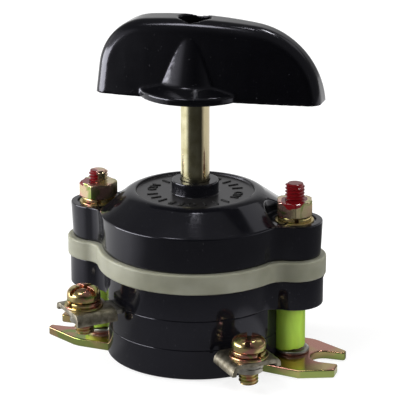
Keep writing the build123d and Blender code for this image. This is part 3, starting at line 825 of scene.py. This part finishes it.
head_turns = {"front_left": 45, "rear_left": 20, "rear_right": 70}
for kind, model, lift, turn, more, node in (
        ("washer", flat_washer("model_washer", *flat_size), 1.0, 0, {}, "terminal_flat_washers"),
        ("split", split_washer("model_split", *split_size), 1.5, 20, {}, "terminal_spring_washers"),
        ("screw", screw(), 2.5, 60, head_turns, "terminal_screws")):
    raised = out @ Matrix.Translation((0, 0, lift * MM))
    stands = [spot @ raised @ Matrix.Rotation(radians(turn + more.get(name, 0)), 4, "Z")
              for name, spot in spots.items()]
    group = at_each(model, f"terminal_{kind}_set", stands)
    keep(group, "housing", "yellow_zinc_steel", screw_zinc, node)
    print(group.name, len(group.data.polygons), "faces")

# %% [markdown]
# ## Marks on the dial
# A dial tells the hand where the switch stands. This one carries plain raised position marks: ON and
# OFF a quarter turn apart, with short bars between. They could be a bump in the finish, but raised
# marks catch the light at their edges. Text is turned to a mesh before it is placed, because a
# finished piece keeps its place in its mesh.

# %% Dial marks
dial_face, mark_radius, mark_height, sunk = 34.6, 9.0, 0.16, 0.02
letter_size, letter_step, letter_swell = 2.6, 13, 0.02
bar_in, bar_out, bar_half, bar_count = 7.9, 10.1, 0.2, 24
upright = Matrix.Rotation(radians(-90), 4, "Z")
on_ring = Matrix.Translation((mark_radius * MM, 0, (dial_face + mark_height / 2) * MM))
letters = []
for word, middle in (("ON", 0), ("OFF", 90), ("ON", 180), ("OFF", 270)):
    for k, letter in enumerate(word):
        deselect()
        bpy.ops.object.text_add()
        mark = bpy.context.object
        mark.data.body = letter
        mark.data.size = letter_size * MM
        mark.data.align_x = "CENTER"
        mark.data.align_y = "CENTER"
        mark.data.extrude = mark_height / 2 * MM
        mark.data.offset = letter_swell * MM
        bpy.ops.object.convert(target="MESH")
        turn = middle - letter_step * (k - (len(word) - 1) / 2)
        mark.data.transform(Matrix.Rotation(radians(turn), 4, "Z") @ on_ring @ upright)
        letters.append(mark)
for k in range(bar_count):
    beside_word = k % 6 in (0, 1, 5)
    if not beside_word:
        bar = slab("bar", oblong(bar_in, bar_out, -bar_half, bar_half), dial_face - sunk,
                   dial_face + mark_height)
        bar.data.transform(Matrix.Rotation(radians(360 / bar_count * k), 4, "Z"))
        letters.append(bar)
marks = joined("dial_marks", *letters)
edit(marks)
bpy.ops.mesh.remove_doubles(threshold=0.001 * MM)
bpy.ops.mesh.normals_make_consistent(inside=False)
deselect()
keep(marks, "housing", "black_phenolic", matt_phenolic)
print(marks.name, len(marks.data.polygons), "faces")

# %% [markdown]
# ## Solids that stay
# The shaft, the handle's screw and the parts inside are plain turned and stamped parts, mostly
# hidden. Softer edges would hardly show on them, so they keep their CAD shape, and a good finish is
# all they need.

# %% Finishes for the solids that stay
stay = {"shaft": shaft_steel, "handle_screw": screw_zinc, "driver": snap_steel,
        "slide_plate": snap_steel, "torsion_spring": snap_steel, "contact_spindle": brown_phenolic,
        "contact_rivets": contact_brass}
for pole in ("upper", "lower"):
    stay[f"contact_spacer_{pole}"] = red_fibre
    for level in ("top", "bottom"):
        stay[f"contact_leaf_{pole}_{level}"] = contact_brass
        stay[f"arc_disc_{pole}_{level}"] = red_fibre
for node, made in stay.items():
    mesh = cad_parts[node].data
    mesh.materials.clear()
    mesh.materials.append(made)
print("Solids kept:", len(stay))

# %% [markdown]
# ## Floor
# A plain white floor, as for a catalogue picture, white to the camera and with the object's soft
# shadow on it. What polished black shows is the room, so an even white floor would turn the packets
# grey. In reflections alone the floor is therefore painted as lit: bright at the left and behind, dim
# close by, and dark in front, where the room is unlit, with its own lit colour painted out to black.
# A painted shadow of the object darkens a patch next to the right ear, and a small painted glow is
# bright next to the right sleeve.

# %% Floor
deselect()
bpy.ops.mesh.primitive_plane_add(size=6)
floor = bpy.context.object
floor.name = "floor"
white, tree, shader, place = finish("white_floor", Roughness=0.9, Specular_IOR_Level=0.1)
shader.inputs["Emission Color"].default_value = linear("#dcdcdc")
to_front, to_left = (0.297, -0.955, 0.0), (-0.955, -0.297, 0.0)
# Two spots for reflections: a painted shadow of the object and a painted glow.
painted_shadow_spot = [c * MM for c in (60, 20, 0)]
painted_glow_spot = [c * MM for c in (36, -13, 0)]
path = add(tree, "LightPath")
glossy = path.outputs["Is Glossy Ray"]

# %% What the floor shows in reflections
way = add(tree, "VectorMath", {0: place}, operation="NORMALIZE").outputs[0]
front = add(tree, "VectorMath", {0: way, 1: to_front}, operation="DOT_PRODUCT").outputs["Value"]
lit = add(tree, "MapRange", {"Value": front, "From Min": 0.65, "From Max": 0.2}).outputs[0]
# Painted shadow: reflections of the floor go dark round this spot, at the object's right.
away = add(tree, "VectorMath", {0: place, 1: painted_shadow_spot}, operation="DISTANCE").outputs["Value"]
clear = add(tree, "MapRange", {"Value": away, "From Min": 50 * MM, "From Max": 90 * MM}).outputs[0]
lit = add(tree, "Math", {0: lit, 1: clear}, operation="MULTIPLY").outputs[0]
reach = add(tree, "VectorMath", {0: place}, operation="LENGTH").outputs["Value"]
far = add(tree, "MapRange", {"Value": reach, "From Min": 40 * MM, "From Max": 90 * MM,
                             "To Min": 0.6, "To Max": 1.45}).outputs[0]
lit = add(tree, "Math", {0: lit, 1: far}, operation="MULTIPLY").outputs[0]
near = add(tree, "MapRange", {"Value": reach, "From Min": 45 * MM, "From Max": 75 * MM,
                              "To Min": 0.35, "To Max": 0.16}).outputs[0]
fade = add(tree, "MapRange", {"Value": reach, "From Min": 130 * MM, "From Max": 105 * MM,
                              "To Min": 0.25, "To Max": 1.0}).outputs[0]
near = add(tree, "Math", {0: near, 1: fade}, operation="MULTIPLY").outputs[0]
lit = add(tree, "Math", {0: lit, 1: near}, operation="MAXIMUM").outputs[0]
# Painted glow: reflections of the floor turn bright round this spot.
glow_spot_share = add(tree, "VectorMath", {0: place, 1: painted_glow_spot}, operation="DISTANCE").outputs["Value"]
glow_spot_share = add(tree, "MapRange", {"Value": glow_spot_share, "From Min": 12 * MM, "From Max": 20 * MM,
                                "To Min": 1.0, "To Max": 0.0}).outputs[0]
lit = add(tree, "Math", {0: lit, 1: glow_spot_share}, operation="MAXIMUM").outputs[0]
mirrored = add(tree, "Math", {0: glossy, 1: lit}, operation="MULTIPLY").outputs[0]
seen = add(tree, "Math", {0: path.outputs["Is Camera Ray"], 1: mirrored},
           operation="MAXIMUM").outputs[0]
seen = add(tree, "Math", {0: seen, 1: path.outputs["Is Transmission Ray"]},
           operation="MAXIMUM").outputs[0]
# In reflections the floor's own lit colour is painted black, so that only the painted light shows.
colour = add(tree, "Mix", {FACTOR: glossy, COLOUR_A: linear("#a8a8a8"),
                           COLOUR_B: linear("#000000")}, data_type="RGBA").outputs[COLOUR]
tree.links.new(seen, shader.inputs["Emission Strength"])
tree.links.new(colour, shader.inputs["Base Color"])
floor.data.materials.append(white)
print("Floor:", floor.name)

# %% [markdown]
# ## Light
# A soft lamp at each side lights the colours, and is kept out of reflections, where it would show
# as a square. Small lamps above and a long low window at the left are there for the gloss: they
# draw the edges, the ridge and the handle's bright end. The world is white to the camera, even and dim
# for the colours, and a room in reflections: a white left wall, a pale back, a dim ceiling and a
# dark front.

# %% Room
even_light = 0.29
world = bpy.data.worlds.new("studio")
bpy.context.scene.world = world
world.use_nodes = True
tree = world.node_tree
sky = tree.nodes["Background"]
sky.inputs["Color"].default_value = linear("#ffffff")
path = add(tree, "LightPath")
way = add(tree, "TexCoord").outputs["Generated"]
front = add(tree, "VectorMath", {0: way, 1: to_front}, operation="DOT_PRODUCT").outputs["Value"]
side = add(tree, "VectorMath", {0: way, 1: to_left}, operation="DOT_PRODUCT").outputs["Value"]
height = add(tree, "SeparateXYZ", {0: way}).outputs["Z"]
back_wall = add(tree, "MapRange", {"Value": front, "From Min": -0.75, "From Max": -0.95,
                                   "To Min": 0.14, "To Max": 0.64}).outputs[0]
left_wall = add(tree, "MapRange", {"Value": side, "From Min": 0.6, "From Max": 0.85}).outputs[0]
low = add(tree, "MapRange", {"Value": height, "From Min": 0.6, "From Max": 0.35,
                             "To Min": 0.25}).outputs[0]
left_wall = add(tree, "Math", {0: left_wall, 1: low}, operation="MULTIPLY").outputs[0]
ceiling = add(tree, "MapRange", {"Value": height, "From Min": 0.7, "From Max": 0.95,
                                 "To Max": 0.18}).outputs[0]
dark_front = add(tree, "MapRange", {"Value": front, "From Min": 0.95, "From Max": 0.7}).outputs[0]
room = add(tree, "Math", {0: back_wall, 1: left_wall}, operation="MAXIMUM").outputs[0]
room = add(tree, "Math", {0: room, 1: ceiling}, operation="MAXIMUM").outputs[0]
room = add(tree, "Math", {0: room, 1: dark_front}, operation="MULTIPLY").outputs[0]
strength = add(tree, "Mix", {FACTOR: path.outputs["Is Glossy Ray"], VALUE_A: even_light,
                             VALUE_B: room}).outputs[VALUE]
strength = add(tree, "Math", {0: strength, 1: path.outputs["Is Camera Ray"]},
               operation="MAXIMUM").outputs[0]
tree.links.new(strength, sky.inputs["Strength"])
print("World:", world.name)

# %% Lamps
aim = Vector((0, 0, 35))


def softbox(name, place, size, power, mirrored):
    """A soft rectangular lamp aimed at the object, seen in reflections or not."""
    lamp = bpy.data.lights.new(name, "AREA")
    lamp.shape = "RECTANGLE"
    lamp.size = size[0] * MM
    lamp.size_y = size[1] * MM
    lamp.energy = power
    box = placed(name, lamp)
    box.location = Vector(place) * MM
    box.rotation_euler = (aim - Vector(place)).to_track_quat("-Z", "Y").to_euler()
    box.visible_glossy = mirrored


softbox("spot", (-10, 32, 635), (36, 20), 0.09, True)
softbox("ridge", (100, 200, 575), (100, 60), 0.5, True)
softbox("edges", (-125, -215, 545), (130, 130), 0.5, True)
softbox("window", (-533, -285, 100), (610, 170), 3.4, True)
softbox("patch", (265, 364, 430), (250, 250), 0.1, True)
softbox("key", (-560, -60, 380), (300, 300), 3.5, False)
softbox("fill", (570, -70, 240), (300, 300), 2.3, False)
print("Lamps:", len(bpy.data.lights))

# %% [markdown]
# ## Camera
# The camera stands where the photograph's camera stood, some 40 cm away and a little above, with a
# long lens. Its place was found from the outlines of the packets, ears and feet. A small shift sets
# the object's height in the frame without tilting its upright edges.

# %% Camera
lens = bpy.data.cameras.new("camera")
lens.lens = 175.5
lens.sensor_width = 36.0
lens.shift_y = 0.0235
camera = placed("camera", lens)
eye, line_of_sight = Vector((115.4, -367.1, 157.2)), Vector((-0.2825, 0.9069, -0.3125))
camera.location = eye * MM
camera.rotation_euler = line_of_sight.to_track_quat("-Z", "Y").to_euler()
bpy.context.scene.camera = camera
bpy.context.scene.view_settings.view_transform = "Standard"
print("Camera at", [round(c, 1) for c in eye], "mm with a lens of", round(lens.lens, 1), "mm")
